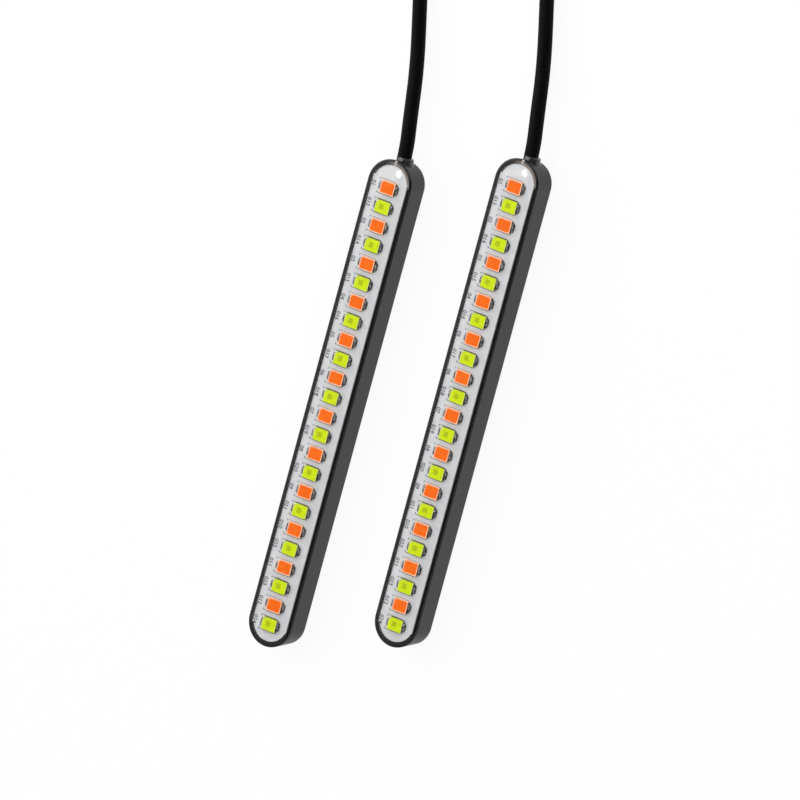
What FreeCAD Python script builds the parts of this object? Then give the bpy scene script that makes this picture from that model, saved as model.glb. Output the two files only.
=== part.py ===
import FreeCAD, Part
import math
import os

# Pair of potted LED turn signal strips with flying leads, in millimetres.
# Each strip lies on its adhesive back: X across it, +Y towards its lead, +Z out of its lit face.
# The origin is on the floor, under the middle of the pair.

# The row of lamps: amber and white packages take turns, starting with amber at the lead's end
led_count = 24
led_pitch = 4.0
led_across = 3.35
led_along = 2.7
led_height = 0.6
amber_window_across = 2.9
amber_window_along = 2.35
white_window_across = 3.15
white_window_along = 2.55
white_window_cut = 0.55      # the cut corner that marks a white package's negative end
window_depth = 0.4
window_lean = 0.2            # each cup wall leans in by this much down to the cup's floor

# The solder joints at the two ends of each package
solder_reach = 0.7           # how far a joint stands out past the package
solder_width = 2.0
solder_height = 0.42
solder_slope = 0.3           # its round front leans back by this much
solder_facets = 4            # flats that make up its round front
solder_squareness = 0.6      # 1 is a half-moon, less is squarer

# The circuit board, and the chip resistors on its back
board_thickness = 1.0
board_clearance = 0.1
leds_per_resistor = 3
resistor_along = 2.0
resistor_across = 1.25
resistor_height = 0.55

# The housing, a tapered tray with round ends
housing_width = 10.3         # over the rim
rim_width = 0.85             # along the straight sides
end_rim_width = 1.05         # at the two tips
pocket_overrun = 1.25        # the pocket's straight sides run on past where its round ends begin
lead_end_margin = 5.85       # from the first package's middle to the housing's tip
plain_end_margin = 4.6       # from the last package's middle to the other tip
side_draft = 0.5             # each side leans in by this much down to the back
floor_thickness = 0.8
ledge_width = 0.6            # the step in the wall that the board rests on
board_recess = 0.3           # the board's face lies this far below the rim
rim_rounding = 0.2
back_bevel = 0.15

# The clear potting, which crowns above the rim and covers the packages
potting_cover = 0.15
potting_gap = 0.02
crown_bevel = 0.4

# The adhesive back
tape_thickness = 0.6
tape_inset = 0.8
liner_thickness = 0.1

# The lead and the seal of glue round it
cable_diameter = 3.0
cable_clearance = 0.05
cable_lift = 0.55            # the lead's hole starts this far above the tray's floor
cable_headroom = 0.55        # free height over the lead, under the board
cable_inside = 5.0           # how far the jacket reaches in from the housing's tip
cable_dip = 0.3              # how far it has dropped a short way out of the housing
cable_landing = 0.2          # its height over the floor where it comes down
seal_length = 0.9
seal_spread = 0.45           # how far the glue spreads past the jacket on the wall
seal_lip = 0.2               # its thickness where it ends on the jacket

# The cores in the lead
core_diameter = 1.1
core_spacing = 1.2
core_stack_angle = 60.0      # the three cores lie in a triangle
wire_run = 2.0               # how far the lower cores run on inside before they turn up
wire_stagger = 2.0           # the upper core turns up this much sooner
wire_bend = 1.0              # the slanted stretch rises and runs on by this much
tip_diameter = 0.7
tip_length = 4.0

# The part of the lead that is folded away: one and a half turns, held by a tie
fold_straight = 40.0
fold_outer_bend = 10.5
fold_edge_bevel = 0.8
fold_last_run = 10.0         # the jacket ends this far up its second pass
tie_width = 4.0
tie_thickness = 0.3
tie_gap = 0.05
tie_place = 4.0              # from the start of the fold to the tie's middle

# The two strips side by side, one a little further on than the other
strip_spacing = 27.9
strip_stagger = 9.4

# Heights that follow from the stack
back_z = liner_thickness + tape_thickness
cavity_floor_z = back_z + floor_thickness
cavity_height = cable_lift + cable_diameter + 2 * cable_clearance + cable_headroom
board_back_z = cavity_floor_z + cavity_height
board_face_z = board_back_z + board_thickness
rim_z = board_face_z + board_recess
led_top_z = board_face_z + led_height
cable_z = cavity_floor_z + cable_lift + cable_clearance + cable_diameter / 2

# Lengths and widths that follow
housing_length = (led_count - 1) * led_pitch + lead_end_margin + plain_end_margin
tip_y = housing_length / 2
first_led_y = tip_y - lead_end_margin
pocket_half_width = housing_width / 2 - rim_width
pocket_end_y = tip_y - housing_width / 2
pocket_end_radius = housing_width / 2 - end_rim_width

# The lead's route, from inside the housing to the fold: chosen points, measured from the housing's tip
floor_z = tie_thickness + cable_diameter / 2
cable_route = [
    (0.0, -cable_inside, cable_z),
    (0.0, 1.5, cable_z),
    (-1.3, 8.0, cable_z - cable_dip),
    (-3.6, 18.0, floor_z + cable_landing),
    (-6.4, 28.5, floor_z),
    (-9.3, 39.0, floor_z),
    (-10.5, 48.0, floor_z),
    (-10.5, 54.0, floor_z),
]
fold_start = cable_route[-1]

# The bare cores' routes, measured from the jacket's far end: first straight out, then chosen points
# that drop to the floor and fan out, each with its height above a core lying on the floor
core_straight = 3.0
core_floor_z = core_diameter / 2
core_low = (core_diameter - cable_diameter) / 2 + core_spacing / 4
core_high = core_low + core_spacing * math.sin(math.radians(core_stack_angle))
core_starts = {
    "yellow": (-core_spacing / 2, core_low),
    "black": (0.0, core_high),
    "white": (core_spacing / 2, core_low),
}
core_routes = {
    "yellow": [(-0.1, 9.0, 0.1), (0.5, 17.0, 0.0), (1.6, 25.0, 0.0), (3.2, 32.0, 0.0)],
    "black": [(0.9, 9.0, 1.0), (3.0, 17.0, 0.0), (5.6, 25.0, 0.0), (7.4, 33.0, 0.0)],
    "white": [(2.2, 9.0, 0.1), (5.8, 16.5, 0.0), (9.8, 23.5, 0.0), (12.4, 31.0, 0.0)],
}


def vector(x, y, z):
    return FreeCAD.Vector(x, y, z)


def block(across, along, height, x, y, z):
    # A box with its middle at x, y and its underside at z
    return Part.makeBox(across, along, height, vector(x - across / 2, y - along / 2, z))


def stepped_prism(half_width, half_length, end_radius, end_y, height, z):
    # A flat prism with round ends, and a small step where its straight sides are wider than they
    middle = block(2 * half_width, 2 * half_length, height, 0, 0, z)
    ends = [Part.makeCylinder(end_radius, height, vector(0, side * end_y, z)) for side in (-1, 1)]
    return middle.fuse(ends).removeSplitter()


def pocket(inset, height, z):
    # The tray's stepped outline, drawn in by an inset
    half_length = pocket_end_y + pocket_overrun - inset
    end_radius = pocket_end_radius - inset
    return stepped_prism(pocket_half_width - inset, half_length, end_radius, pocket_end_y, height, z)


def tapered_body(height, z):
    # The housing's outside: sides and ends lean in towards the back
    top = housing_width / 2
    bottom = top - side_draft
    centre = tip_y - top
    corners = [(-bottom, z), (bottom, z), (top, z + height), (-top, z + height), (-bottom, z)]
    section = Part.Face(Part.makePolygon([vector(x, -centre, h) for x, h in corners]))
    middle = section.extrude(vector(0, 2 * centre, 0))
    ends = [Part.makeCone(bottom, top, height, vector(0, side * centre, z)) for side in (-1, 1)]
    return middle.fuse(ends).removeSplitter()


def edges_at(shape, z):
    # The edges that lie wholly at one height
    small = 1e-6
    return [e for e in shape.Edges if abs(e.BoundBox.ZMin - z) < small and abs(e.BoundBox.ZMax - z) < small]


def cable_passage(diameter):
    # A round rod along the lead's axis through the housing's end wall
    length = 2 * cable_inside
    return Part.makeCylinder(
        diameter / 2, length, vector(0, tip_y - cable_inside, cable_z), vector(0, 1, 0)
    )


def make_housing():
    outside = tapered_body(rim_z - back_z, back_z)
    outside = outside.makeFillet(rim_rounding, edges_at(outside, rim_z))
    outside = outside.makeChamfer(back_bevel, edges_at(outside, back_z))
    seat = pocket(0, rim_z - board_back_z, board_back_z)
    cavity = pocket(ledge_width, cavity_height, cavity_floor_z)
    hole = cable_passage(cable_diameter + 2 * cable_clearance)
    return outside.cut(seat.fuse(cavity)).cut(hole)


def make_board():
    return pocket(board_clearance, board_thickness, board_back_z)


def led_places(first):
    # The middles of every second package, from the first or the second one on
    return [first_led_y - led_pitch * i for i in range(first, led_count, 2)]


def window(across, along, cut, y):
    # A truncated pyramid, wide end up, lofted between two rectangles with one corner cut off
    outlines = []
    for lean, z in ((window_lean, led_top_z - window_depth), (0.0, led_top_z)):
        half_x, half_y = across / 2 - lean, along / 2 - lean
        corners = [(-half_x, -half_y), (half_x, -half_y), (half_x, half_y)]
        corners += [(cut - half_x, half_y), (-half_x, half_y - cut)] if cut else [(-half_x, half_y)]
        corners.append(corners[0])
        outlines.append(Part.makePolygon([vector(cx, y + cy, z) for cx, cy in corners]))
    return Part.makeLoft(outlines, True, True)


def make_packages(first, window_across, window_along, window_cut):
    frames, windows = [], []
    for y in led_places(first):
        filling = window(window_across, window_along, window_cut, y)
        frames.append(block(led_across, led_along, led_height, 0, y, board_face_z).cut(filling))
        windows.append(filling)
    return Part.makeCompound(frames), Part.makeCompound(windows)


def solder_joint(side):
    # A half-moon of solder against one end of a package, lofted between its foot and its smaller top
    outlines = []
    for lean, z in ((0.0, board_face_z), (solder_slope, board_face_z + solder_height)):
        corners = []
        for i in range(solder_facets + 1):
            angle = math.pi * (i / solder_facets - 1 / 2)
            out = abs(math.cos(angle)) ** solder_squareness if 0 < i < solder_facets else 0.0
            aside = math.copysign(abs(math.sin(angle)) ** solder_squareness, angle)
            x = led_across / 2 + (solder_reach - lean) * out
            corners.append(vector(side * x, (solder_width / 2 - lean) * aside, z))
        corners.append(corners[0])
        outlines.append(Part.makePolygon(corners))
    return Part.makeLoft(outlines, True, True)


def make_solder_joints():
    pair = [solder_joint(side) for side in (-1, 1)]
    joints = []
    for i in range(led_count):
        for joint in pair:
            copy = joint.copy()
            copy.translate(vector(0, first_led_y - led_pitch * i, 0))
            joints.append(copy)
    return Part.makeCompound(joints)


def make_resistors():
    # One chip for each string of packages, in a row on the board's back
    count = max(1, led_count // leds_per_resistor)
    spacing = leds_per_resistor * led_pitch
    middle = first_led_y - led_pitch * (led_count - 1) / 2
    z = board_back_z - resistor_height
    chips = []
    for i in range(count):
        y = middle - spacing * (i - (count - 1) / 2) - led_pitch / 2
        chips.append(block(resistor_across, resistor_along, resistor_height, 0, y, z))
    return Part.makeCompound(chips)


def make_potting():
    height = led_top_z + potting_cover - board_face_z
    resin = pocket(potting_gap, height, board_face_z)
    resin = resin.makeChamfer(crown_bevel, edges_at(resin, board_face_z + height))
    room_across = led_across + 2 * (solder_reach + potting_gap)
    room_along = max(led_along, solder_width) + 2 * potting_gap
    rooms = [
        block(room_across, room_along, led_height, 0, first_led_y - led_pitch * i, board_face_z)
        for i in range(led_count)
    ]
    return resin.cut(rooms)


def make_tape(thickness, z):
    radius = housing_width / 2 - side_draft - tape_inset
    return stepped_prism(radius, pocket_end_y, radius, pocket_end_y, thickness, z)


def make_seal(housing_outside, cable):
    # A cone of glue on the end wall, round the jacket
    inside = cable_inside / 2
    wide = cable_diameter / 2 + seal_spread
    narrow = cable_diameter / 2 + seal_lip
    start = tip_y - side_draft * (rim_z - cable_z) / (rim_z - back_z)
    cone = Part.makeCone(wide, narrow, seal_length, vector(0, start, cable_z), vector(0, 1, 0))
    root = Part.makeCylinder(wide, inside, vector(0, start - inside, cable_z), vector(0, 1, 0))
    glue = cone.fuse(root).removeSplitter()
    return glue.cut(housing_outside).cut(cable)


def route_wire(name, points):
    # Straight runs joined by tangent arcs, each as large as its two runs allow
    share = 0.45
    points = [vector(*p) for p in points]
    edges, start, radii = [], points[0], []
    for before, corner, after in zip(points, points[1:], points[2:]):
        run_in, run_out = corner - before, after - corner
        turn = run_in.getAngle(run_out)
        reach = share * min(run_in.Length, run_out.Length)
        radius = reach / math.tan(turn / 2)
        run_in.normalize()
        run_out.normalize()
        inward = run_out - run_in
        inward.normalize()
        arc_start, arc_end = corner - run_in * reach, corner + run_out * reach
        arc_middle = corner + inward * (radius / math.cos(turn / 2) - radius)
        edges.append(Part.LineSegment(start, arc_start).toShape())
        edges.append(Part.Arc(arc_start, arc_middle, arc_end).toShape())
        start = arc_end
        radii.append(radius)
    edges.append(Part.LineSegment(start, points[-1]).toShape())
    print(name, "bend radii", [round(r, 1) for r in radii])
    return Part.Wire(edges)


def tube(name, points, diameter):
    path = route_wire(name, points)
    first = path.Edges[0]
    start = first.valueAt(first.FirstParameter)
    direction = first.tangentAt(first.FirstParameter)
    ring = Part.Wire(Part.makeCircle(diameter / 2, start, direction))
    solid = path.makePipeShell([ring], True, True)
    expected = math.pi * diameter ** 2 / 4 * path.Length
    print(name, "length", round(path.Length, 1), "volume over section times length",
          round(solid.Volume / expected, 4))
    return solid


def make_cable():
    points = [(x, tip_y + y, z) for x, y, z in cable_route]
    return tube("cable", points, cable_diameter)


def make_board_wires():
    # The cores inside, from the jacket's end up to the board's back
    wires = []
    jacket_end = tip_y - cable_inside
    for name, (x, rise) in core_starts.items():
        run = wire_run if rise == core_low else wire_run - wire_stagger / 2
        z = cable_z + rise
        turn_y = jacket_end - run
        path = Part.makePolygon([
            vector(x, jacket_end, z),
            vector(x, turn_y, z),
            vector(x, turn_y - wire_bend, z + wire_bend),
            vector(x, turn_y - wire_bend, board_back_z),
        ])
        ring = Part.Wire(Part.makeCircle(core_diameter / 2, vector(x, jacket_end, z), vector(0, -1, 0)))
        wires.append(path.makePipeShell([ring], True, True, 1))
    return Part.makeCompound(wires)


def half_ring(radius, side, x, y):
    # Half of a flat ring one lead wide, bulging towards +Y or -Y
    turn = 0 if side > 0 else 180
    outer, inner = radius + cable_diameter / 2, radius - cable_diameter / 2
    base = vector(x, y, tie_thickness)
    up = vector(0, 0, 1)
    ring = Part.makeCylinder(outer, cable_diameter, base, up, 180)
    ring = ring.cut(Part.makeCylinder(inner, cable_diameter, base, up))
    ring.rotate(base, up, turn)
    return ring


def fold_geometry():
    # Where the folded passes lie: outer left, right, inner left, and the second bend's radius
    left = fold_start[0]
    right = left + 2 * fold_outer_bend
    inner = left + cable_diameter
    return left, right, inner, (right - inner) / 2


def make_hank():
    left, right, inner, inner_bend = fold_geometry()
    y = tip_y + fold_start[1]
    def run(x, length):
        return block(cable_diameter, length, cable_diameter, x, y + length / 2, tie_thickness)
    pieces = [
        half_ring(fold_outer_bend, 1, left + fold_outer_bend, y + fold_straight),
        run(right, fold_straight),
        half_ring(inner_bend, -1, inner + inner_bend, y),
        run(inner, fold_last_run),
    ]
    solid = run(left, fold_straight).fuse(pieces).removeSplitter()
    top = edges_at(solid, tie_thickness + cable_diameter)
    return solid.makeChamfer(fold_edge_bevel, top)


def make_tie():
    # A flat band round the two passes that lie side by side
    left, right, inner, inner_bend = fold_geometry()
    middle = (left + inner) / 2
    width = inner - left + cable_diameter + 2 * tie_gap
    height = cable_diameter + tie_gap
    y = tip_y + fold_start[1] + tie_place
    outer = block(width + 2 * tie_thickness, tie_width, height + 2 * tie_thickness, middle, y, 0)
    hollow = block(width, tie_width, height, middle, y, tie_thickness)
    return outer.cut(hollow)


def core_points(name):
    left, right, inner, inner_bend = fold_geometry()
    y = tip_y + fold_start[1] + fold_last_run
    x_start, rise = core_starts[name]
    points = [(inner + x_start, y + dy, floor_z + rise) for dy in (0, core_straight)]
    points += [(inner + x_start + dx, y + dy, core_floor_z + dz) for dx, dy, dz in core_routes[name]]
    return points


def make_tips():
    # The stripped and tinned ends of the cores
    tips = []
    for name in core_starts:
        before, end = [vector(*p) for p in core_points(name)[-2:]]
        tips.append(Part.makeCylinder(tip_diameter / 2, tip_length, end, end - before))
    return Part.makeCompound(tips)


def make_strip():
    amber_frames, amber_windows = make_packages(0, amber_window_across, amber_window_along, 0)
    white_frames, white_windows = make_packages(
        1, white_window_across, white_window_along, white_window_cut)
    cable = make_cable()
    nodes = {
        "housing": make_housing(),
        "circuit_board": make_board(),
        "amber_led_frames": amber_frames,
        "amber_led_windows": amber_windows,
        "white_led_frames": white_frames,
        "white_led_windows": white_windows,
        "solder_joints": make_solder_joints(),
        "resistors": make_resistors(),
        "board_wires": make_board_wires(),
        "clear_potting": make_potting(),
        "cable_seal": make_seal(tapered_body(rim_z - back_z, back_z), cable),
        "foam_tape": make_tape(tape_thickness, liner_thickness),
        "tape_liner": make_tape(liner_thickness, 0),
        "cable": cable,
        "cable_hank": make_hank(),
        "cable_tie": make_tie(),
        "core_tips": make_tips(),
    }
    for name in core_starts:
        nodes[name + "_core"] = tube(name + " core", core_points(name), core_diameter)
    return nodes


os.makedirs("parts", exist_ok=True)
strip = make_strip()
for side_name, side in (("left", -1), ("right", 1)):
    for node, shape in strip.items():
        placed = shape.copy()
        placed.translate(vector(side * strip_spacing / 2, side * strip_stagger / 2, 0))
        placed.exportStep("parts/" + side_name + "_" + node + ".step")
print("nodes", 2 * len(strip), "housing", round(housing_length, 2), "by", housing_width, "by",
      round(rim_z - back_z, 2))
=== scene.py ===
import bpy
import math
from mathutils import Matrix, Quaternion, Vector


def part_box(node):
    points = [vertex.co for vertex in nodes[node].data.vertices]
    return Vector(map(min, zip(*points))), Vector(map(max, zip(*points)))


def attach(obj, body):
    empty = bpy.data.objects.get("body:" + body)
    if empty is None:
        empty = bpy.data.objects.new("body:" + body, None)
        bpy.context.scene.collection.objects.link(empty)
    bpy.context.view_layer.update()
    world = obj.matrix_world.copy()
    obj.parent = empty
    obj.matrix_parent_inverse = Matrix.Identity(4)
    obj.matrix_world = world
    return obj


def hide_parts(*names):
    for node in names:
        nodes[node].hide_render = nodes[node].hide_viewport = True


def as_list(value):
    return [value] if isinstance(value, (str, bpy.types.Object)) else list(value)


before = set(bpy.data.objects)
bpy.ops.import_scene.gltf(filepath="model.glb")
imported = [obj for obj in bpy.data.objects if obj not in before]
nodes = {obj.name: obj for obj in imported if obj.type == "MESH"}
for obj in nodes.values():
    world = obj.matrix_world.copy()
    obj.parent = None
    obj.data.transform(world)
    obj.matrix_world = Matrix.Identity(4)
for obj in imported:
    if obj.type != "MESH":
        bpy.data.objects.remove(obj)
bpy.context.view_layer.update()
mm = 0.001
tiny = 1e-7
sharpTurn = math.radians(50)  # an edge that turns more than this is rounded by a Bevel modifier

# the left strip is modelled where the frame has it, and the right one is a copy, moved by stripStep
housingLow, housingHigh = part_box("left_housing")
boardLow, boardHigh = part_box("left_circuit_board")
amberLow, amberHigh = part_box("left_amber_led_frames")
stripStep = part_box("right_housing")[0] - housingLow
stripX = (housingLow.x + housingHigh.x) / 2
stripY = (housingLow.y + housingHigh.y) / 2
backZ, rimZ = housingLow.z, housingHigh.z
boardZ = boardHigh.z
lampZ = amberHigh.z
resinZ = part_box("left_clear_potting")[1].z
print("frame: strip at", round(stripX, 5), round(stripY, 5), "rim", round(rimZ, 5))


def toObjectMode():
    if bpy.context.object is not None and bpy.context.object.mode != "OBJECT":
        bpy.ops.object.mode_set(mode="OBJECT")


def deselectAll():
    toObjectMode()
    bpy.ops.object.select_all(action="DESELECT")


def activate(piece):
    deselectAll()
    piece.select_set(True)
    bpy.context.view_layer.objects.active = piece


def named(name):  # the object just added gets its name, and its place goes into its mesh
    piece = bpy.context.object
    piece.name = name
    piece.data.name = name
    bpy.ops.object.transform_apply(location=True, rotation=True, scale=True)
    return piece


def pick(piece, kind, test):  # selects by a test, and stays in edit mode
    activate(piece)
    bpy.context.tool_settings.mesh_select_mode = (kind == "VERT", kind == "EDGE", kind == "FACE")
    bpy.ops.object.mode_set(mode="EDIT")
    bpy.ops.mesh.select_all(action="DESELECT")
    bpy.ops.object.mode_set(mode="OBJECT")
    items = {"VERT": piece.data.vertices, "EDGE": piece.data.edges, "FACE": piece.data.polygons}[kind]
    for item in items:
        item.select = test(item)
    bpy.ops.object.mode_set(mode="EDIT")


def ends(piece, edge):
    return [piece.data.vertices[i].co for i in edge.vertices]


def levelEdge(piece, z):  # a test for the edges that lie at one height
    return lambda edge: all(abs(p.z - z) < tiny for p in ends(piece, edge))


def uprightEdge(piece, where):  # a test for the edges that climb, at places that pass
    def test(edge):
        a, b = ends(piece, edge)
        return abs(a.z - b.z) > tiny and where(a) and where(b)
    return test


def finishWith(piece, kind, **settings):  # adds a modifier and applies it
    activate(piece)
    modifier = piece.modifiers.new(kind.lower(), kind)
    for name, value in settings.items():
        setattr(modifier, name, value)
    bpy.ops.object.modifier_apply(modifier=modifier.name)


def combine(piece, tool, operation):
    finishWith(piece, "BOOLEAN", operation=operation, solver="EXACT", object=tool)
    bpy.data.objects.remove(tool)


def cleanUp(piece, merge=1e-6):
    activate(piece)
    bpy.ops.object.mode_set(mode="EDIT")
    bpy.ops.mesh.select_all(action="SELECT")
    bpy.ops.mesh.remove_doubles(threshold=merge)
    bpy.ops.mesh.normals_make_consistent(inside=False)
    toObjectMode()


def smooth(piece, angle=35):
    activate(piece)
    bpy.ops.object.shade_smooth_by_angle(angle=math.radians(angle))
    finishWith(piece, "WEIGHTED_NORMAL", keep_sharp=True)


def joinAll(pieces):
    activate(pieces[0])
    for piece in pieces:
        piece.select_set(True)
    bpy.ops.object.join()
    return pieces[0]


def rightCopy(piece, name):
    activate(piece)
    bpy.ops.object.duplicate(linked=False)
    bpy.ops.transform.translate(value=stripStep)
    return named(name)


def dress(piece, material, slot, *replaced):
    piece.data.materials.clear()
    piece.data.materials.append(material)
    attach(piece, "root")
    if replaced:
        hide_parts(*replaced)


# shader maths: a socket that takes part in sums, and the one method that adds any other node
class Flow:
    def __init__(self, tree, socket=None):
        self.tree = tree
        self.socket = socket

    def node(self, kind, settings=None, sockets=None, out=0):
        made = self.tree.nodes.new(kind)
        for name, value in (settings or {}).items():
            setattr(made, name, value)
        for name, value in (sockets or {}).items():
            if isinstance(value, Flow):
                self.tree.links.new(value.socket, made.inputs[name])
            else:
                made.inputs[name].default_value = value
        return Flow(self.tree, made.outputs[out])

    def sum(self, operation, first, second=0.0):
        return self.node("ShaderNodeMath", {"operation": operation}, {0: first, 1: second})

    def __add__(self, other):
        return self.sum("ADD", self, other)

    def __radd__(self, other):
        return self.sum("ADD", other, self)

    def __sub__(self, other):
        return self.sum("SUBTRACT", self, other)

    def __rsub__(self, other):
        return self.sum("SUBTRACT", other, self)

    def __mul__(self, other):
        return self.sum("MULTIPLY", self, other)

    def __rmul__(self, other):
        return self.sum("MULTIPLY", other, self)

    def __truediv__(self, other):
        return self.sum("DIVIDE", self, other)

    def __abs__(self):
        return self.sum("ABSOLUTE", self)

    def at(self):  # object coordinates, in metres
        return self.node("ShaderNodeTexCoord", out="Object")

    def split(self):
        return [self.node("ShaderNodeSeparateXYZ", {}, {0: self}, out=i) for i in range(3)]

    def noise(self, size, detail=3.0, roughness=0.5):  # specks of about that size
        return self.node("ShaderNodeTexNoise", {}, {
            "Vector": self, "Scale": 1 / size, "Detail": detail, "Roughness": roughness})

    def blend(self, first, second):  # from the first colour to the second one
        return self.node("ShaderNodeMix", {"data_type": "RGBA"}, {0: self, 6: first, 7: second}, out=2)

    def ease(self, low, high):  # 0 below low, 1 above high, smooth between
        return self.node("ShaderNodeMapRange", {"interpolation_type": "SMOOTHSTEP"}, {
            "Value": self, "From Min": low, "From Max": high})

    def bump(self, distance, strength=1.0):
        return self.node("ShaderNodeBump", {}, {"Height": self, "Distance": distance, "Strength": strength})


def newFinish(name, constants, varying):  # varying takes the object coordinates and gives linked sockets
    material = bpy.data.materials.new(name)
    material.use_nodes = True
    tree = material.node_tree
    shader = tree.nodes["Principled BSDF"]
    for socket, value in constants.items():
        shader.inputs[socket].default_value = value
    for socket, flow in varying(Flow(tree).at()).items():
        tree.links.new(flow.socket, shader.inputs[socket])
    return material


def grainy(name, dark, light, size, roughness, grain, depth, constants=None):
    # two tones in soft specks, an uneven sheen and a fine relief
    def varying(at):
        tone = at.noise(size)
        fine = at.noise(grain, 2.0)
        return {
            "Base Color": tone.ease(0.35, 0.65).blend((*dark, 1), (*light, 1)),
            "Roughness": roughness[0] + (roughness[1] - roughness[0]) * at.noise(size / 2),
            "Normal": fine.bump(depth),
        }
    return newFinish(name, constants or {}, varying)


# the tray: a tapered stadium with a stepped pocket, a hollow under the board and a hole for the lead
trayPlan = {
    "halfWidth": 5.15 * mm, "halfLength": 51.225 * mm, "draft": 0.5 * mm, "turnSteps": 96,
    "rimRound": 0.28 * mm, "rimRun": 0.25 * mm, "rimFall": 0.04 * mm,
    "backRound": 0.15 * mm, "roundSteps": 6, "lipRound": 0.08 * mm, "lipSteps": 2, "lipSlack": 0.01 * mm,
    "pocketHalfWidth": 4.3 * mm, "endY": 46.075 * mm, "endRadius": 4.1 * mm, "overrun": 1.25 * mm,
    "ledge": 0.6 * mm, "floor": 0.8 * mm, "over": 0.5 * mm,
    "holeRadius": 1.55 * mm, "holeDepth": 10 * mm, "holeZ": 3.6 * mm, "holeSteps": 48,
}


def stadiumBlock(name, lowRadius, highRadius, reach, lowZ, highZ):
    # a cone whose two halves are pulled apart along the strip
    steps = trayPlan["turnSteps"]
    deselectAll()
    bpy.ops.mesh.primitive_cone_add(
        vertices=steps, radius1=lowRadius, radius2=highRadius, depth=highZ - lowZ,
        location=(stripX, stripY, (lowZ + highZ) / 2), rotation=(0, 0, math.pi / steps))
    piece = named(name)
    for way in (-1, 1):
        pick(piece, "VERT", lambda v: (v.co.y - stripY) * way > 0)
        bpy.ops.transform.translate(value=(0, way * reach, 0))
    toObjectMode()
    return piece


def pocketBlock(name, inset, lowZ, highZ):
    # the pocket's outline: round ends, and wider straight sides that run on past their middles
    plan = trayPlan
    radius = plan["endRadius"] - inset
    halfLength = plan["endY"] + plan["overrun"] - inset
    piece = stadiumBlock(name, radius, radius, plan["endY"], lowZ, highZ)
    deselectAll()
    bpy.ops.mesh.primitive_cube_add(
        size=1, location=(stripX, stripY, (lowZ + highZ) / 2),
        scale=(2 * (plan["pocketHalfWidth"] - inset), 2 * halfLength, highZ - lowZ))
    combine(piece, named("pocketMiddle"), "UNION")
    pick(piece, "FACE", lambda face: True)
    # one flat face at each end, so that a bevel follows the outline only
    bpy.ops.mesh.dissolve_limited(angle_limit=math.radians(1))
    toObjectMode()
    return piece


def makeTray():
    plan = trayPlan
    boardBack = boardLow.z
    halfWidth = plan["halfWidth"]
    shoulderZ = rimZ - plan["rimFall"]
    tray = stadiumBlock(
        "left_tray", halfWidth - plan["draft"], halfWidth, plan["halfLength"] - halfWidth, backZ, shoulderZ)
    for level, size in ((shoulderZ, plan["rimRound"]), (backZ, plan["backRound"])):
        pick(tray, "EDGE", levelEdge(tray, level))
        bpy.ops.mesh.bevel(offset=size, segments=plan["roundSteps"], affect="EDGES")
    pick(tray, "FACE", lambda face: face.center.z > shoulderZ - tiny)
    bpy.ops.mesh.inset(thickness=plan["rimRun"])
    bpy.ops.transform.translate(value=(0, 0, plan["rimFall"]))  # the rim falls a little outwards
    combine(tray, pocketBlock("seat", 0, boardBack, rimZ + plan["over"]), "DIFFERENCE")
    hollow = pocketBlock("hollow", plan["ledge"], backZ + plan["floor"], boardBack + plan["over"])
    combine(tray, hollow, "DIFFERENCE")
    deselectAll()
    bpy.ops.mesh.primitive_cylinder_add(
        vertices=plan["holeSteps"], radius=plan["holeRadius"], depth=plan["holeDepth"],
        location=(stripX, stripY + plan["halfLength"], plan["holeZ"]), rotation=(math.pi / 2, 0, 0))
    combine(tray, named("leadHole"), "DIFFERENCE")
    level = levelEdge(tray, rimZ)
    flatReach = halfWidth - plan["rimRound"] - plan["rimRun"] - plan["lipSlack"]
    inside = lambda p: math.hypot(p.x - stripX, max(abs(p.y - stripY) - plan["endY"], 0)) < flatReach
    pick(tray, "EDGE", lambda edge: level(edge) and all(inside(p) for p in ends(tray, edge)))
    bpy.ops.mesh.bevel(offset=plan["lipRound"], segments=plan["lipSteps"], affect="EDGES")
    cleanUp(tray)
    smooth(tray)
    return tray


# the lamp packages: a pale frame with a leaning cup, and the filling in the cup
lampPlan = {
    "count": 24, "across": 3.35 * mm, "along": 2.7 * mm, "cupDepth": 0.4 * mm, "cupLean": 0.2 * mm,
    "cornerRound": 0.18 * mm, "cornerSteps": 3, "edgeRound": 0.03 * mm, "edgeSteps": 2,
    "fillDrop": 0.02 * mm, "fillCrown": 0.015 * mm, "fillInset": 0.1 * mm,
}
amberPlan = {"first": 0, "wall": 0.2 * mm, "cupRound": 0.25 * mm, "cut": 0.45 * mm, "cutSteps": 3}
limePlan = {"first": 1, "wall": 0.085 * mm, "cupRound": 0.18 * mm, "cut": 0.55 * mm, "cutSteps": 1}
lampStep = (amberHigh.y - amberLow.y - lampPlan["along"]) / (lampPlan["count"] - 2)
firstLampY = amberHigh.y - lampPlan["along"] / 2


def rowOf(piece, count, step):
    finishWith(piece, "ARRAY", count=count, use_relative_offset=False, use_constant_offset=True,
               constant_offset_displace=(0, -step, 0))


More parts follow.
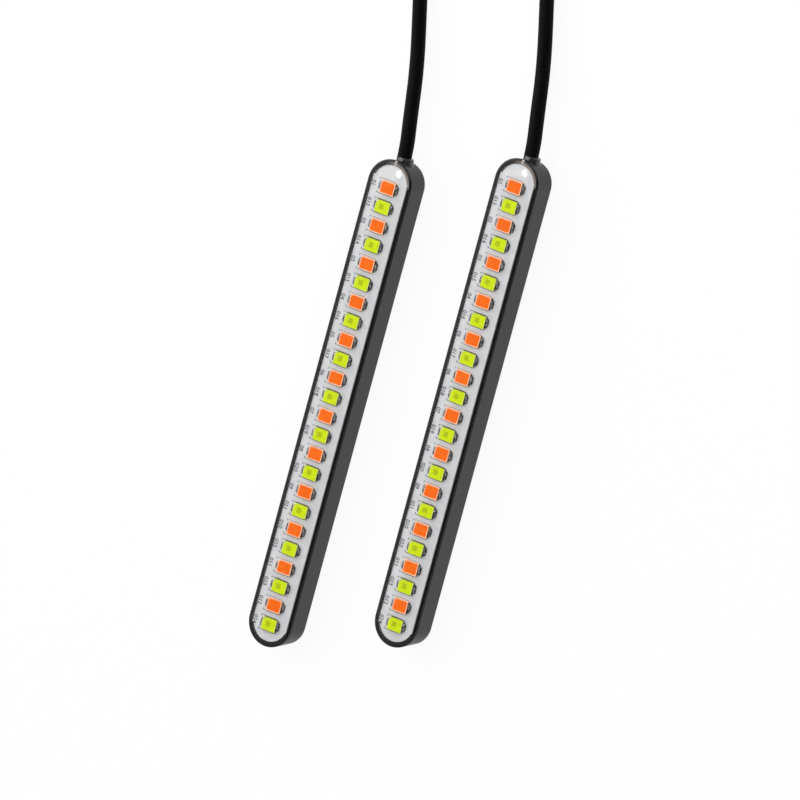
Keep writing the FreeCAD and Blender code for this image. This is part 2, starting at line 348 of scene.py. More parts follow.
def makeLamps(kind, style):
    plan = lampPlan
    y = firstLampY - style["first"] * lampStep
    floorZ = lampZ - plan["cupDepth"]
    middle = (stripX, y, (boardZ + lampZ) / 2)
    deselectAll()
    bpy.ops.mesh.primitive_cube_add(
        size=1, location=middle, scale=(plan["across"], plan["along"], lampZ - boardZ))
    body = named("left_" + kind + "_frames")
    top = lambda face: face.normal.z > 0.9 and face.center.z > lampZ - tiny
    pick(body, "FACE", top)
    bpy.ops.mesh.inset(thickness=style["wall"])
    bpy.ops.mesh.extrude_region_move(TRANSFORM_OT_translate={"value": (0, 0, floorZ - lampZ)})
    halfX = plan["across"] / 2 - style["wall"]
    halfY = plan["along"] / 2 - style["wall"]
    lean = plan["cupLean"]
    bpy.ops.transform.resize(
        value=(1 - lean / halfX, 1 - lean / halfY, 1), center_override=(stripX, y, floorZ))

    inCup = lambda p: abs(p.x - stripX) < halfX + tiny and abs(p.y - y) < halfY + tiny
    marked = lambda p: p.x < stripX and p.y > y  # the corner that marks the lamp's negative end
    pick(body, "EDGE", uprightEdge(body, lambda p: inCup(p) and marked(p)))
    bpy.ops.mesh.bevel(offset=style["cut"], segments=style["cutSteps"], affect="EDGES")
    pick(body, "EDGE", uprightEdge(body, lambda p: inCup(p) and not marked(p)))
    bpy.ops.mesh.bevel(offset=style["cupRound"], segments=plan["cornerSteps"], affect="EDGES")
    outer = lambda p: abs(p.x - stripX) > plan["across"] / 2 - tiny
    pick(body, "EDGE", uprightEdge(body, outer))
    bpy.ops.mesh.bevel(offset=plan["cornerRound"], segments=plan["cornerSteps"], affect="EDGES")

    pick(body, "FACE", lambda face: face.normal.z > 0.9 and abs(face.center.z - floorZ) < tiny)
    bpy.ops.mesh.duplicate()
    bpy.ops.mesh.separate(type="SELECTED")
    toObjectMode()
    fill = [piece for piece in bpy.context.selected_objects if piece is not body][0]
    activate(fill)
    fill = named("left_" + kind + "_fillings")
    pick(fill, "FACE", lambda face: True)
    fillZ = lampZ - plan["fillDrop"]
    bpy.ops.mesh.extrude_region_move(TRANSFORM_OT_translate={"value": (0, 0, fillZ - floorZ)})
    bpy.ops.transform.resize(
        value=(halfX / (halfX - lean), halfY / (halfY - lean), 1), center_override=(stripX, y, fillZ))
    bpy.ops.mesh.inset(thickness=plan["fillInset"], depth=plan["fillCrown"])
    cleanUp(fill)
    smooth(fill, 25)

    finishWith(body, "BEVEL", width=plan["edgeRound"], segments=plan["edgeSteps"], limit_method="ANGLE",
               angle_limit=sharpTurn)
    smooth(body)
    for piece in (body, fill):
        rowOf(piece, plan["count"] // 2, 2 * lampStep)
    return body, fill


# the solder at the two ends of each package, like half a squarish pillow
solderPlan = {
    "reach": 0.62 * mm, "width": 1.9 * mm, "height": 0.42 * mm, "sink": 0.03 * mm,
    "cornerRound": 0.5 * mm, "slope": 0.3 * mm, "steps": 3,
}


def makeSolder():
    plan = solderPlan
    length = plan["reach"] + plan["sink"]
    topZ = boardZ + plan["height"]
    joints = []
    for way in (-1, 1):
        inner = stripX + way * (lampPlan["across"] / 2 - plan["sink"])
        front = inner + way * length
        deselectAll()
        bpy.ops.mesh.primitive_cube_add(
            size=1, location=((inner + front) / 2, firstLampY, boardZ + plan["height"] / 2),
            scale=(length, plan["width"], plan["height"]))
        joint = named("joint")
        pick(joint, "EDGE", uprightEdge(joint, lambda p: abs(p.x - front) < tiny))
        bpy.ops.mesh.bevel(offset=plan["cornerRound"], segments=plan["steps"], affect="EDGES")
        onTop = levelEdge(joint, topZ)
        pick(joint, "EDGE", lambda edge: onTop(edge) and any(
            abs(p.x - inner) > tiny for p in ends(joint, edge)))
        bpy.ops.mesh.bevel(offset=plan["slope"], segments=plan["steps"], affect="EDGES")
        cleanUp(joint)
        smooth(joint, 50)
        joints.append(joint)
    solder = joinAll(joints)
    solder.name = solder.data.name = "left_solder"
    rowOf(solder, lampPlan["count"], lampStep)
    return solder


# what is printed on the board: a bracket of two lines at each lamp, and plain numbers
printPlan = {
    "ink": 0.012 * mm, "lineLow": -2.55 * mm, "lineHigh": 1.35 * mm, "hook": 0.3 * mm, "hookWidth": 0.14 * mm,
    "amberLines": {-1: (1.58 * mm, 0.09 * mm), 1: (1.5 * mm, 0.05 * mm)},  # how far aside, and how wide
    "limeLines": {-1: (1.48 * mm, 0.13 * mm), 1: (1.4 * mm, 0.08 * mm)},
    "numberSize": 1.25 * mm, "numberBold": 0.025 * mm, "numberX": -3.7 * mm, "numberSteps": 3,
}


def makeLines(first, lines):
    plan = printPlan
    low, high = stripX + plan["lineLow"], stripX + plan["lineHigh"]
    bend = low + plan["hookWidth"]
    marks = []
    for way, (aside, width) in lines.items():
        y = firstLampY - first * lampStep + way * aside
        deselectAll()
        bpy.ops.mesh.primitive_cube_add(
            size=1, location=((low + high) / 2, y, boardZ), scale=(high - low, width, 2 * plan["ink"]))
        line = named("line")
        pick(line, "FACE", lambda face: True)
        bpy.ops.mesh.bisect(plane_co=(bend, y, boardZ), plane_no=(1, 0, 0))
        pick(line, "FACE", lambda face: face.normal.y * way < -0.9 and face.center.x < bend)
        bpy.ops.mesh.extrude_region_move(TRANSFORM_OT_translate={"value": (0, -way * plan["hook"], 0)})
        toObjectMode()
        marks.append(line)
    marks = joinAll(marks)
    rowOf(marks, lampPlan["count"] // 2, 2 * lampStep)
    return marks


def makePrint():
    plan = printPlan
    pieces = [
        makeLines(amberPlan["first"], plan["amberLines"]), makeLines(limePlan["first"], plan["limeLines"])]
    for i in range(lampPlan["count"]):
        deselectAll()
        bpy.ops.object.text_add(
            location=(stripX + plan["numberX"], firstLampY - i * lampStep, boardZ),
            rotation=(0, 0, -math.pi / 2))
        text = bpy.context.object
        text.data.body = "0%d" % (i // 2 + 1 + i % 2 * lampPlan["count"] // 2)  # the amber ones first
        text.data.align_x, text.data.align_y = "CENTER", "CENTER"
        text.data.size = plan["numberSize"]
        text.data.extrude = plan["ink"]
        text.data.offset = plan["numberBold"]
        text.data.resolution_u = plan["numberSteps"]
        bpy.ops.object.convert(target="MESH")
        pieces.append(named("number"))
    marks = joinAll(pieces)
    marks.name = marks.data.name = "left_board_print"
    return marks


# the clear resin: it fills the pocket over the board and swells a little above the rim
resinPlan = {
    "sink": 0.02 * mm, "overlap": 0.02 * mm, "edgeRise": 0.02 * mm, "run": 3.6 * mm,
    "cuts": [0.2 * mm, 0.5 * mm, 0.9 * mm, 1.4 * mm, 2.0 * mm, 2.7 * mm, 3.5 * mm],
}


def makeResin():
    plan = resinPlan
    edgeZ = rimZ + plan["edgeRise"]
    resin = pocketBlock("left_resin", -plan["overlap"], boardZ - plan["sink"], edgeZ)
    halfWidth, endY = trayPlan["pocketHalfWidth"], trayPlan["endY"]
    reach = endY + trayPlan["endRadius"]
    for way in (-1, 1):
        for cut in plan["cuts"]:
            for co, no in (
                ((stripX + way * (halfWidth - cut), stripY, edgeZ), (1, 0, 0)),
                ((stripX, stripY + way * (reach - cut), edgeZ), (0, 1, 0)),
            ):
                pick(resin, "FACE", lambda face: True)
                bpy.ops.mesh.bisect(plane_co=co, plane_no=no)
    toObjectMode()
    for v in resin.data.vertices:  # the swell rises smoothly from the pocket's edge
        if v.co.z > edgeZ - tiny:
            beyond = max(abs(v.co.y - stripY) - endY, 0)
            aside = max(halfWidth - math.hypot(v.co.x - stripX, beyond), 0)
            v.co.z += (resinZ - edgeZ) * (1 - (1 - min(aside / plan["run"], 1)) ** 2)
    cleanUp(resin)
    smooth(resin, 50)
    return resin


# the glue round the lead where it leaves the tray
gluePlan = {
    "wide": 1.95 * mm, "narrow": 1.62 * mm, "length": 0.7 * mm, "sink": 1.0 * mm, "aside": 0.3 * mm,
    "steps": 24, "rings": 4, "lump": 0.06 * mm, "seed": 4,
}


def makeGlue():
    plan = gluePlan
    start = stripY + trayPlan["halfLength"] - plan["sink"]
    length = plan["length"] + plan["sink"]
    deselectAll()
    bpy.ops.mesh.primitive_cone_add(
        vertices=plan["steps"], radius1=plan["wide"], radius2=plan["narrow"], depth=length,
        location=(stripX + plan["aside"], start + length / 2, trayPlan["holeZ"]),
        rotation=(-math.pi / 2, 0, 0))
    glue = named("left_glue")
    pick(glue, "EDGE", lambda edge: abs(ends(glue, edge)[0].y - ends(glue, edge)[1].y) > length / 2)
    bpy.ops.mesh.subdivide(number_cuts=plan["rings"], smoothness=0)
    pick(glue, "VERT", lambda v: True)
    bpy.ops.transform.vertex_random(offset=plan["lump"], seed=plan["seed"])
    toObjectMode()
    finishWith(glue, "SUBSURF", levels=2, render_levels=2)
    cleanUp(glue)
    smooth(glue, 60)
    return glue


# the lead: its route from inside the tray to the fold, then one and a half flat turns
leadPlan = {
    "diameter": 0.003,
    "route": [
        (0.0, -0.005, 0.0036), (0.0, 0.0015, 0.0036), (-0.0013, 0.008, 0.0033),
        (-0.0036, 0.018, 0.002), (-0.0064, 0.0285, 0.0018), (-0.0093, 0.039, 0.0018),
        (-0.0105, 0.048, 0.0018), (-0.0105, 0.054, 0.0018),
    ],
    "runLength": 0.04, "outerBend": 0.0105, "innerBend": 0.009, "lastRun": 0.01,
    "bendSteps": 12, "runSteps": 4, "length": 0.2115,
}
corePlan = {
    "diameter": 0.0011, "start": (-0.0075, 0.064),
    "routes": {
        "yellow": [
            (-0.0006, 0.0, 0.00115), (-0.0006, 0.003, 0.00115), (-0.0007, 0.009, 0.00065),
            (-0.0001, 0.017, 0.00055), (0.001, 0.025, 0.00055), (0.0026, 0.032, 0.00055)],
        "black": [
            (0.0, 0.0, 0.002189), (0.0, 0.003, 0.002189), (0.0009, 0.009, 0.00155),
            (0.003, 0.017, 0.00055), (0.0056, 0.025, 0.00055), (0.0074, 0.033, 0.00055)],
        "white": [
            (0.0006, 0.0, 0.00115), (0.0006, 0.003, 0.00115), (0.0028, 0.009, 0.00065),
            (0.0064, 0.0165, 0.00055), (0.0104, 0.0235, 0.00055), (0.013, 0.031, 0.00055)],
    },
    "lengths": {"yellow": 0.0323, "black": 0.034, "white": 0.0337},
}
tipPlan = {"radius": 0.35 * mm, "length": 4 * mm, "strands": 7, "valley": 0.78, "rings": 14, "twist": 2.6}


def cordCurve(name, points, diameter):
    curve = bpy.data.curves.new(name, "CURVE")
    curve.dimensions = "3D"
    line = curve.splines.new("NURBS")
    line.points.add(len(points) - 1)
    for point, place in zip(line.points, points):
        point.co = (*place, 1)
    line.order_u = 3
    line.use_endpoint_u = True
    line.resolution_u = 8
    curve.bevel_depth = diameter / 2
    curve.bevel_resolution = 7
    curve.use_fill_caps = True
    piece = bpy.data.objects.new(name, curve)
    bpy.context.scene.collection.objects.link(piece)
    return piece


def foldPoints():
    # up the left run, over the outer bend, down the right run, round the inner bend and up again
    plan = leadPlan
    startX, startY, z = plan["route"][-1]
    topY = startY + plan["runLength"]
    outer, inner = plan["outerBend"], plan["innerBend"]
    points = []
    for i in range(1, plan["runSteps"]):
        points.append((startX, startY + plan["runLength"] * i / plan["runSteps"], z))
    for i in range(plan["bendSteps"] + 1):
        turn = math.pi * (1 - i / plan["bendSteps"])
        points.append((startX + outer + outer * math.cos(turn), topY + outer * math.sin(turn), z))
    rightX = startX + 2 * outer
    for i in range(1, plan["runSteps"]):
        points.append((rightX, topY - plan["runLength"] * i / plan["runSteps"], z))
    for i in range(plan["bendSteps"] + 1):
        turn = -math.pi * i / plan["bendSteps"]
        points.append((rightX - inner + inner * math.cos(turn), startY + inner * math.sin(turn), z))
    points.append((rightX - 2 * inner, startY + plan["lastRun"] / 2, z))
    points.append((rightX - 2 * inner, startY + plan["lastRun"], z))
    return points


def sideOffset(side):  # where a side's lead leaves its tray
    step = stripStep if side == "right" else Vector((0, 0, 0))
    return Vector((stripX, stripY + trayPlan["halfLength"], 0)) + step


def makeLead(side):
    offset = sideOffset(side)
    points = [offset + Vector(p) for p in leadPlan["route"] + foldPoints()]
    return cordCurve(side + "_lead", points, leadPlan["diameter"])


def corePoints(side, colour):
    startX, startY = corePlan["start"]
    start = sideOffset(side) + Vector((startX, startY, 0))
    return [start + Vector(p) for p in corePlan["routes"][colour]]


def makeTips(side):
    # tinned strands at the cores' ends: a fluted rod, twisted
    plan = tipPlan
    tips = []
    for colour in corePlan["routes"]:
        before, end = corePoints(side, colour)[-2:]
        way = (end - before).normalized()
        deselectAll()
        bpy.ops.mesh.primitive_cylinder_add(
            vertices=2 * plan["strands"], radius=plan["radius"], depth=plan["length"])
        tip = named("tip")
        gap = math.pi / plan["strands"]
        pick(tip, "VERT", lambda v: round(math.atan2(v.co.x, v.co.y) / gap) % 2 == 1)
        bpy.ops.transform.resize(value=(plan["valley"], plan["valley"], 1), center_override=(0, 0, 0))
        pick(tip, "EDGE", uprightEdge(tip, lambda p: True))
        bpy.ops.mesh.subdivide(number_cuts=plan["rings"], smoothness=0)
        toObjectMode()
        finishWith(tip, "SIMPLE_DEFORM", deform_method="TWIST", deform_axis="Z", angle=plan["twist"])
        smooth(tip, 60)
        tip.rotation_euler = way.to_track_quat("Z", "Y").to_euler()
        tip.location = end + way * plan["length"] / 2
        activate(tip)
        tips.append(named("tip"))
    tips = joinAll(tips)
    tips.name = tips.data.name = side + "_tips"
    return tips


# the tie: a flat band round two passes of the lead, with a raised wire along its middle
tiePlan = {
    "thickness": 0.3 * mm, "cornerRound": 1.2 * mm, "roundSteps": 6, "edgeRound": 0.06 * mm, "edgeSteps": 2,
    "wireWidth": 1.1 * mm, "wireHeight": 0.18 * mm,
}


def makeTie():
    plan = tiePlan
    low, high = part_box("left_cable_tie")
    middle, size = (low + high) / 2, high - low
    deselectAll()
    rib = plan["wireHeight"] - plan["thickness"] / 2
    bpy.ops.mesh.primitive_cube_add(
        size=1, location=middle, scale=(size.x - 2 * rib, size.y, size.z - 2 * rib))
    tie = named("left_tie")
    pick(tie, "EDGE", lambda edge: abs(ends(tie, edge)[0].y - ends(tie, edge)[1].y) > size.y / 2)
    bpy.ops.mesh.bevel(offset=plan["cornerRound"], segments=plan["roundSteps"], affect="EDGES")
    pick(tie, "FACE", lambda face: abs(face.normal.y) > 0.9)
    bpy.ops.mesh.delete(type="ONLY_FACE")
    toObjectMode()
    for way in (-1, 1):  # two cuts leave a strip along the middle of the band
        pick(tie, "FACE", lambda face: True)
        bpy.ops.mesh.bisect(
            plane_co=(middle.x, middle.y + way * plan["wireWidth"] / 2, middle.z), plane_no=(0, 1, 0))
    cleanUp(tie)
    pick(tie, "FACE", lambda face: abs(face.center.y - middle.y) < plan["wireWidth"] / 4)
    bpy.ops.mesh.extrude_region_shrink_fatten(TRANSFORM_OT_shrink_fatten={"value": rib})
    toObjectMode()
    finishWith(tie, "SOLIDIFY", thickness=plan["thickness"], offset=-1)
    finishWith(tie, "BEVEL", width=plan["edgeRound"], segments=plan["edgeSteps"], limit_method="ANGLE",
               angle_limit=sharpTurn)
    cleanUp(tie)
    smooth(tie)
    return tie


print("modelling the left strip")
tray = makeTray()
amberFrames, amberFillings = makeLamps("amber_lamp", amberPlan)
limeFrames, limeFillings = makeLamps("lime_lamp", limePlan)
solder = makeSolder()
boardPrint = makePrint()
resin = makeResin()
glue = makeGlue()
tie = makeTie()

print("materials")
whiteMask = grainy(
    "whiteMask", (0.58, 0.588, 0.6), (0.635, 0.64, 0.65), 2.2 * mm, (0.3, 0.45), 0.3 * mm, 0.004 * mm)
amberFill = grainy(
    "amberFill", (0.89, 0.132, 0.0005), (0.94, 0.158, 0.001), 1.0 * mm, (0.25, 0.4), 0.1 * mm, 0.003 * mm,
    {"Specular IOR Level": 0.15})
brightSolder = grainy(
    "brightSolder", (0.05, 0.049, 0.048), (0.25, 0.245, 0.24), 0.5 * mm, (0.22, 0.42), 0.25 * mm, 0.03 * mm,
    {"Metallic": 1.0})
clearGlue = grainy(
    "clearGlue", (0.01, 0.011, 0.012), (0.03, 0.033, 0.036), 0.8 * mm, (0.08, 0.2), 0.5 * mm, 0.03 * mm,
    {"Coat Weight": 0.25})
blackJacket = grainy(
    "blackJacket", (0.0012, 0.0012, 0.0013), (0.002, 0.002, 0.0022), 1.0 * mm, (0.45, 0.6), 0.15 * mm,
    0.006 * mm, {"Specular IOR Level": 0.06})
yellowJacket = grainy(
    "yellowJacket", (0.72, 0.45, 0.01), (0.8, 0.52, 0.02), 1.0 * mm, (0.35, 0.5), 0.15 * mm, 0.004 * mm)
whiteJacket = grainy(
    "whiteJacket", (0.7, 0.7, 0.67), (0.78, 0.78, 0.75), 1.0 * mm, (0.35, 0.5), 0.15 * mm, 0.004 * mm)
tinned = grainy(
    "tinned", (0.45, 0.45, 0.46), (0.65, 0.65, 0.66), 0.4 * mm, (0.25, 0.4), 0.12 * mm, 0.006 * mm,
    {"Metallic": 1.0})
tieBand = grainy(
    "tieBand", (0.01, 0.01, 0.011), (0.018, 0.018, 0.019), 0.8 * mm, (0.3, 0.45), 0.2 * mm, 0.006 * mm)
foamBlack = grainy(
    "foamBlack", (0.06, 0.06, 0.065), (0.12, 0.12, 0.125), 0.3 * mm, (0.85, 1.0), 0.25 * mm, 0.05 * mm)
redFilm = grainy(
    "redFilm", (0.5, 0.02, 0.015), (0.6, 0.04, 0.03), 3 * mm, (0.2, 0.35), 1.0 * mm, 0.01 * mm)
chipBlack = grainy(
    "chipBlack", (0.02, 0.02, 0.02), (0.04, 0.04, 0.04), 0.4 * mm, (0.4, 0.6), 0.1 * mm, 0.004 * mm)
redWire = grainy(
    "redWire", (0.45, 0.03, 0.02), (0.55, 0.05, 0.03), 0.8 * mm, (0.35, 0.5), 0.15 * mm, 0.004 * mm)


def fromLamp(at, first, step):  # how far across and along a point is from its lamp's middle, and its height
    x, y, z = at.split()
    period = 2 * lampStep
    turns = (y - (firstLampY - first * lampStep + step.y)) / period
    return x - (stripX + step.x), (turns - turns.sum("ROUND", turns)) * period, z


# dark grey ink, and olive where a lime lamp's light falls on it
inkPlan = {
    "tones": ((0.03, 0.03, 0.04, 1), (0.08, 0.08, 0.1, 1)), "litTone": (0.07, 0.08, 0.004, 1),
    "litReach": (1.65 * mm, 1.8 * mm), "litFrom": (-2.1 * mm, -1.9 * mm),
}


def printInk(side, step):
    plan = inkPlan

    def varying(at):
        across, along = fromLamp(at, limePlan["first"], step)[:2]
        lit = (1 - abs(along).ease(*plan["litReach"])) * across.ease(*plan["litFrom"])
        ink = at.noise(0.4 * mm).ease(0.35, 0.65).blend(*plan["tones"])
        return {
            "Base Color": lit.blend(ink, plan["litTone"]),
            "Roughness": 0.5 + 0.2 * at.noise(0.2 * mm),
            "Normal": at.noise(0.1 * mm, 2.0).bump(0.002 * mm),
        }
    return newFinish("printInk" + side, {}, varying)


# yellow-green grains, with the lamp's chip showing through as a darker square that pales in its middle
phosphorPlan = {
    "tones": ((0.565, 0.71, 0.0, 1), (0.635, 0.78, 0.0, 1)), "chipTone": (0.385, 0.48, 0.0, 1),
    "x": -0.2 * mm, "y": 0.05 * mm, "half": 0.5 * mm, "soft": 0.16 * mm, "core": 0.2 * mm, "corePale": 0.2,
}


def limePhosphor(name, step):
    plan = phosphorPlan

    def varying(at):
        across, along = fromLamp(at, limePlan["first"], step)[:2]
        aside = abs(across - plan["x"])
        far = aside.sum("MAXIMUM", aside, abs(along - plan["y"]))
        chip = 1 - far.ease(plan["half"] - plan["soft"], plan["half"] + plan["soft"])
        core = 1 - far.ease(plan["core"] - plan["soft"] / 2, plan["core"] + plan["soft"] / 2)
        tone = at.noise(0.5 * mm).ease(0.3, 0.7).blend(*plan["tones"])
        return {
            "Base Color": (chip * (1 - plan["corePale"] * core)).blend(tone, plan["chipTone"]),
            "Roughness": 0.3 + 0.15 * at.noise(0.3 * mm),
            "Normal": at.noise(0.1 * mm).bump(0.003 * mm),
        }
    return newFinish(name, {"Specular IOR Level": 0.15}, varying)


# pale package tops; painted shade darkens the lower walls, brown at an amber lamp's two ends and dark olive
# all round a lime one; a lime one's long edges are dark
packagePlan = {
    "shadeDepths": (0.15 * mm, 0.04 * mm), "shadeSoft": 0.03 * mm, "edgeSoft": 0.02 * mm,
    "amber": {
        "first": amberPlan["first"], "tops": ((0.88, 0.44, 0.25, 1), (0.92, 0.54, 0.36, 1)),
        "wall": (0.12, 0.07, 0.045, 1), "shadeFrom": lampPlan["across"] / 2 - 0.02 * mm, "edgeFrom": lampStep},
    "lime": {
        "first": limePlan["first"], "tops": ((0.6, 0.67, 0.2, 1), (0.72, 0.78, 0.42, 1)),
        "wall": (0.12, 0.135, 0.004, 1), "shadeFrom": 0.0, "edgeFrom": lampPlan["along"] / 2 - 0.06 * mm},
}


def packagePlastic(kind, side, step):
    plan = packagePlan[kind]

    def varying(at):
        across, along, height = fromLamp(at, plan["first"], step)
        # painted shade: below the top the walls darken, an amber lamp's only at its two ends
        low = 1 - height.ease(*[lampZ - depth for depth in packagePlan["shadeDepths"]])
        wall = low * abs(across).ease(plan["shadeFrom"] - packagePlan["shadeSoft"], plan["shadeFrom"])
        edge = abs(along).ease(plan["edgeFrom"] - packagePlan["edgeSoft"], plan["edgeFrom"])
        return {
            "Base Color": wall.sum("MAXIMUM", wall, edge).blend(
                at.noise(0.6 * mm).ease(0.3, 0.7).blend(*plan["tops"]), plan["wall"]),
            "Roughness": 0.4 + 0.15 * at.noise(0.4 * mm),
            "Normal": at.noise(0.08 * mm).bump(0.002 * mm),
        }
    return newFinish(kind + "Package" + side, {}, varying)


# the tray's black; at the lead's end a film of resin crept over the rim, its pale brown partly painted sheen,
# with a painted highlight as a pale streak across it, both given by turns about the round end's middle; the
# rim is sleeker on the right
mouldingPlan = {
    "tones": ((0.003, 0.003, 0.0032, 1), (0.005, 0.005, 0.0053, 1)), "rough": (0.36, 0.48),
    "rimDepth": (0.3 * mm, 0.15 * mm), "soft": 0.2 * mm,
    "filmReach": 4.75 * mm, "filmTurns": (-0.5, 0.1, 1.35, 1.55), "filmAndSheenTone": (0.22, 0.185, 0.16, 1),
    "filmSleek": 0.15, "paintedGlintTurns": (-0.03, 0.04, 0.06, 0.13), "paintedGlintTone": (0.42, 0.42, 0.415, 1),
    "rightFrom": 4.2 * mm, "rightSleek": 0.26,
}


def between(flow, turns):  # 0, then 1 between the two inner values, then 0 again
    return flow.ease(turns[0], turns[1]) * (1 - flow.ease(turns[2], turns[3]))


def mouldedBlack(side, step):
    plan = mouldingPlan
    soft = plan["soft"]
    smoothest, roughest = plan["rough"]

    def varying(at):
        x, y, z = at.split()
        across, along = x - (stripX + step.x), y - (stripY + step.y + trayPlan["endY"])
        far = across.sum("SQRT", across * across + along * along)
        turn = across.sum("ARCTAN2", across, along)
        high = z.ease(*[rimZ - depth for depth in plan["rimDepth"]])
        near = 1 - far.ease(plan["filmReach"] - soft, plan["filmReach"])
        film = near * between(turn, plan["filmTurns"]) * high
        plain = at.noise(1.5 * mm).ease(0.35, 0.65).blend(*plan["tones"])
        # the film's pale brown: resin on the rim, and painted sheen where it catches light
        tone = (film * (0.6 + 0.6 * at.noise(0.8 * mm))).blend(plain, plan["filmAndSheenTone"])
        right = high * across.ease(plan["rightFrom"], plan["rightFrom"] + soft) * (1 - film)
        rough = smoothest + (roughest - smoothest) * at.noise(0.75 * mm)
        return {
            # painted highlight: a pale streak across the rim, put into the base colour
            "Base Color": (high * between(turn, plan["paintedGlintTurns"])).blend(tone, plan["paintedGlintTone"]),
            "Roughness": rough - plan["filmSleek"] * film - plan["rightSleek"] * right,
            "Normal": at.noise(0.12 * mm, 2.0).bump(0.006 * mm),
        }
    return newFinish("blackMoulding" + side, {"Specular IOR Level": 0.3}, varying)


# see-through apart from its shine, which grows with the slant; the right edge is painted opaque dark brown,
# painted shade of the wall under it
clearPlan = {
    "shine": 0.035, "slantShine": 0.5, "slantPower": 5.0, "tone": (0.95, 0.96, 0.97, 1),
    "edge": (0.24 * mm, 0.06 * mm), "edgeShadeTone": (0.03, 0.02, 0.012, 1), "edgeShadeAlpha": 0.9,
}


def clearResin(side, step):
    plan = clearPlan

    def varying(at):
        slant = at.node("ShaderNodeLayerWeight", {}, {"Blend": 0.5}, out="Facing")
        shine = plan["shine"] + plan["slantShine"] * slant.sum("POWER", slant, plan["slantPower"])
        shine = shine * (0.9 + 0.2 * at.noise(5 * mm))
        edgeX = stripX + step.x + trayPlan["pocketHalfWidth"]
        # painted shade: near the right edge the resin turns opaque dark brown
        edge = at.split()[0].ease(*[edgeX - inset for inset in plan["edge"]])
        return {
            "Base Color": edge.blend(plan["tone"], plan["edgeShadeTone"]),
            "Metallic": 1 - edge,
            "Alpha": shine.sum("MAXIMUM", shine, plan["edgeShadeAlpha"] * edge),
            "Roughness": 0.06 + 0.05 * at.noise(2 * mm),
            "Normal": at.noise(6 * mm, 1.0).bump(0.004 * mm),
        }
    return newFinish("clearResin" + side, {}, varying)


sideSteps = {"left": Vector((0, 0, 0)), "right": stripStep}
blackMouldings = {side: mouldedBlack(side, step) for side, step in sideSteps.items()}
clearResins = {side: clearResin(side, step) for side, step in sideSteps.items()}
limeFills = {side: limePhosphor("limeFill" + side, step) for side, step in sideSteps.items()}
printInks = {side: printInk(side, step) for side, step in sideSteps.items()}
amberPackages = {side: packagePlastic("amber", side, step) for side, step in sideSteps.items()}
limePackages = {side: packagePlastic("lime", side, step) for side, step in sideSteps.items()}

print("dressing both strips")
leftPieces = {
    "tray": (tray, blackMouldings, "black_housing", "housing"),
    "amber_lamp_frames": (amberFrames, amberPackages, "led_frame", "amber_led_frames"),
    "amber_lamp_fillings": (amberFillings, amberFill, "amber_window", "amber_led_windows"),
    "lime_lamp_frames": (limeFrames, limePackages, "led_frame", "white_led_frames"),
    "lime_lamp_fillings": (limeFillings, limeFills, "white_window", "white_led_windows"),
    "solder": (solder, brightSolder, "solder", "solder_joints"),
    "board_print": (boardPrint, printInks, "resistor", None),
    "resin": (resin, clearResins, "clear_resin", "clear_potting"),
    "glue": (glue, clearGlue, "seal_glue", "cable_seal"),
    "tie": (tie, tieBand, "tie", "cable_tie"),
}
onLead = {"left": [glue, tie], "right": []}
for name, (piece, material, slot, node) in leftPieces.items():
    pair = {"left": piece, "right": rightCopy(piece, "right_" + name)}
    for side, strip in pair.items():
        finish = material[side] if isinstance(material, dict) else material
        dress(strip, finish, slot, *([side + "_" + node] if node else []))
    if name in ("glue", "tie"):
        onLead["right"].append(pair["right"])

keptNodes = {
    "circuit_board": whiteMask, "resistors": chipBlack, "board_wires": redWire,
    "foam_tape": foamBlack, "tape_liner": redFilm,
}
coreFinishes = {"yellow": yellowJacket, "black": blackJacket, "white": whiteJacket}
for side in ("left", "right"):
    for node, material in keptNodes.items():
        kept = nodes[side + "_" + node]
        kept.data.materials.clear()
        kept.data.materials.append(material)
    lead = makeLead(side)
    dress(lead, blackJacket, "cable_jacket", side + "_cable", side + "_cable_hank")
    exit = sideOffset(side) + Vector((0, 0, trayPlan["holeZ"]))
    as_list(onLead[side])
    tips = makeTips(side)
    dress(tips, tinned, "tinned_tip", side + "_core_tips")
    for colour, material in coreFinishes.items():
        points = corePoints(side, colour)
        core = cordCurve(side + "_" + colour + "_wire", points, corePlan["diameter"])
        dress(core, material, colour + "_jacket", side + "_" + colour + "_core")
        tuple(points[0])
        [tips] if colour == "black" else []

print("studio")
studioPlan = {
    "floorSize": 12, "floorTone": (0.9, 0.9, 0.9, 1), "floorRough": 0.9, "floorGlow": 0.93,
    "leftAir": (1.6, 1.6, 1.61, 1), "rightAir": (0.12, 0.12, 0.123, 1), "airChange": (-0.8, -0.45),
    "lamps": {
        "keyLamp": {"place": (-0.36, 0.38, 0.46), "size": 1.0, "power": 4.6},
        "fillLamp": {"place": (0.35, -0.35, 0.85), "size": 0.6, "power": 2.6},
        "edgeLamp": {"place": (0.49, 0.75, 0.42), "size": 0.25, "power": 1.5},
        "glintLamp": {"place": (-0.325, 0.112, 0.864), "size": 0.14, "power": 0.7},
    },
}
cameraPlan = {
    "place": (2.560146, 0.988726, 4.56854), "target": (-0.0024961, -0.0003018, 0.0), "roll": 93.074,
    "lens": 1200, "sensor": 36,
}


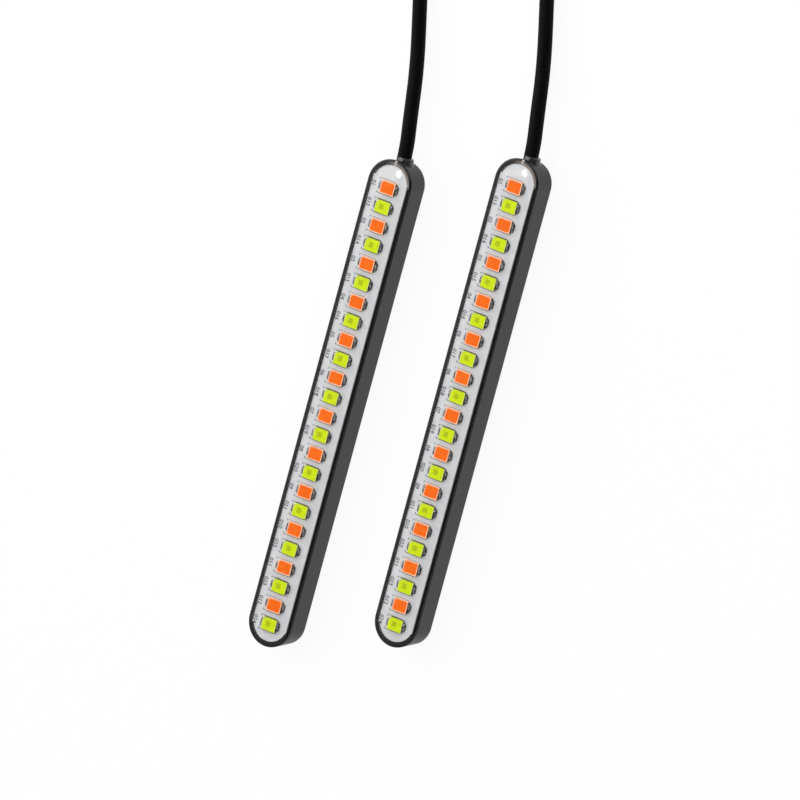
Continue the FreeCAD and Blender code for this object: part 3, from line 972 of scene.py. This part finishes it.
def makeFloor():
    deselectAll()
    bpy.ops.mesh.primitive_plane_add(size=studioPlan["floorSize"])
    floor = named("floor")
    material = bpy.data.materials.new("paleFloor")
    material.use_nodes = True
    tree = material.node_tree
    shader = tree.nodes["Principled BSDF"]
    shader.inputs["Base Color"].default_value = studioPlan["floorTone"]
    shader.inputs["Roughness"].default_value = studioPlan["floorRough"]
    start = Flow(tree)
    kinds = ("Camera", "Glossy", "Transmission")
    rays = [start.node("ShaderNodeLightPath", out="Is " + kind + " Ray") for kind in kinds]
    seen = rays[0].sum("MAXIMUM", rays[0], rays[1].sum("MAXIMUM", rays[1], rays[2]))
    glow = start.node("ShaderNodeEmission", {}, {"Color": (1, 1, 1, 1), "Strength": 1.0})
    lit = Flow(tree, shader.outputs[0])
    mixed = start.node("ShaderNodeMixShader", {}, {0: seen * studioPlan["floorGlow"], 1: lit, 2: glow})
    tree.links.new(mixed.socket, tree.nodes["Material Output"].inputs["Surface"])
    floor.data.materials.append(material)


def makeWorld():
    world = bpy.data.worlds.new("studioAir")
    world.use_nodes = True
    tree = world.node_tree
    sideways = Flow(tree).node("ShaderNodeTexCoord", out="Generated").split()[0]
    tone = sideways.ease(*studioPlan["airChange"]).blend(studioPlan["leftAir"], studioPlan["rightAir"])
    tree.links.new(tone.socket, tree.nodes["Background"].inputs["Color"])
    bpy.context.scene.world = world


def makeLamp(name, plan):
    place = Vector(plan["place"])
    deselectAll()
    facing = (-place).to_track_quat("-Z", "Y")
    bpy.ops.object.light_add(type="AREA", location=place, rotation=facing.to_euler())
    lamp = bpy.context.object
    lamp.name = name
    lamp.data.shape = "DISK"
    lamp.data.size = plan["size"]
    lamp.data.energy = plan["power"]


def makeCamera():
    plan = cameraPlan
    place = Vector(plan["place"])
    aim = (Vector(plan["target"]) - place).to_track_quat("-Z", "Y")
    turned = aim @ Quaternion((0, 0, 1), -math.radians(plan["roll"]))
    deselectAll()
    bpy.ops.object.camera_add(location=place, rotation=turned.to_euler())
    camera = bpy.context.object
    camera.name = "photoCamera"
    camera.data.lens = plan["lens"]
    camera.data.sensor_width = plan["sensor"]
    bpy.context.scene.camera = camera


makeFloor()
makeWorld()
for name, plan in studioPlan["lamps"].items():
    makeLamp(name, plan)
makeCamera()
bpy.context.scene.view_settings.view_transform = "Standard"

print("done")
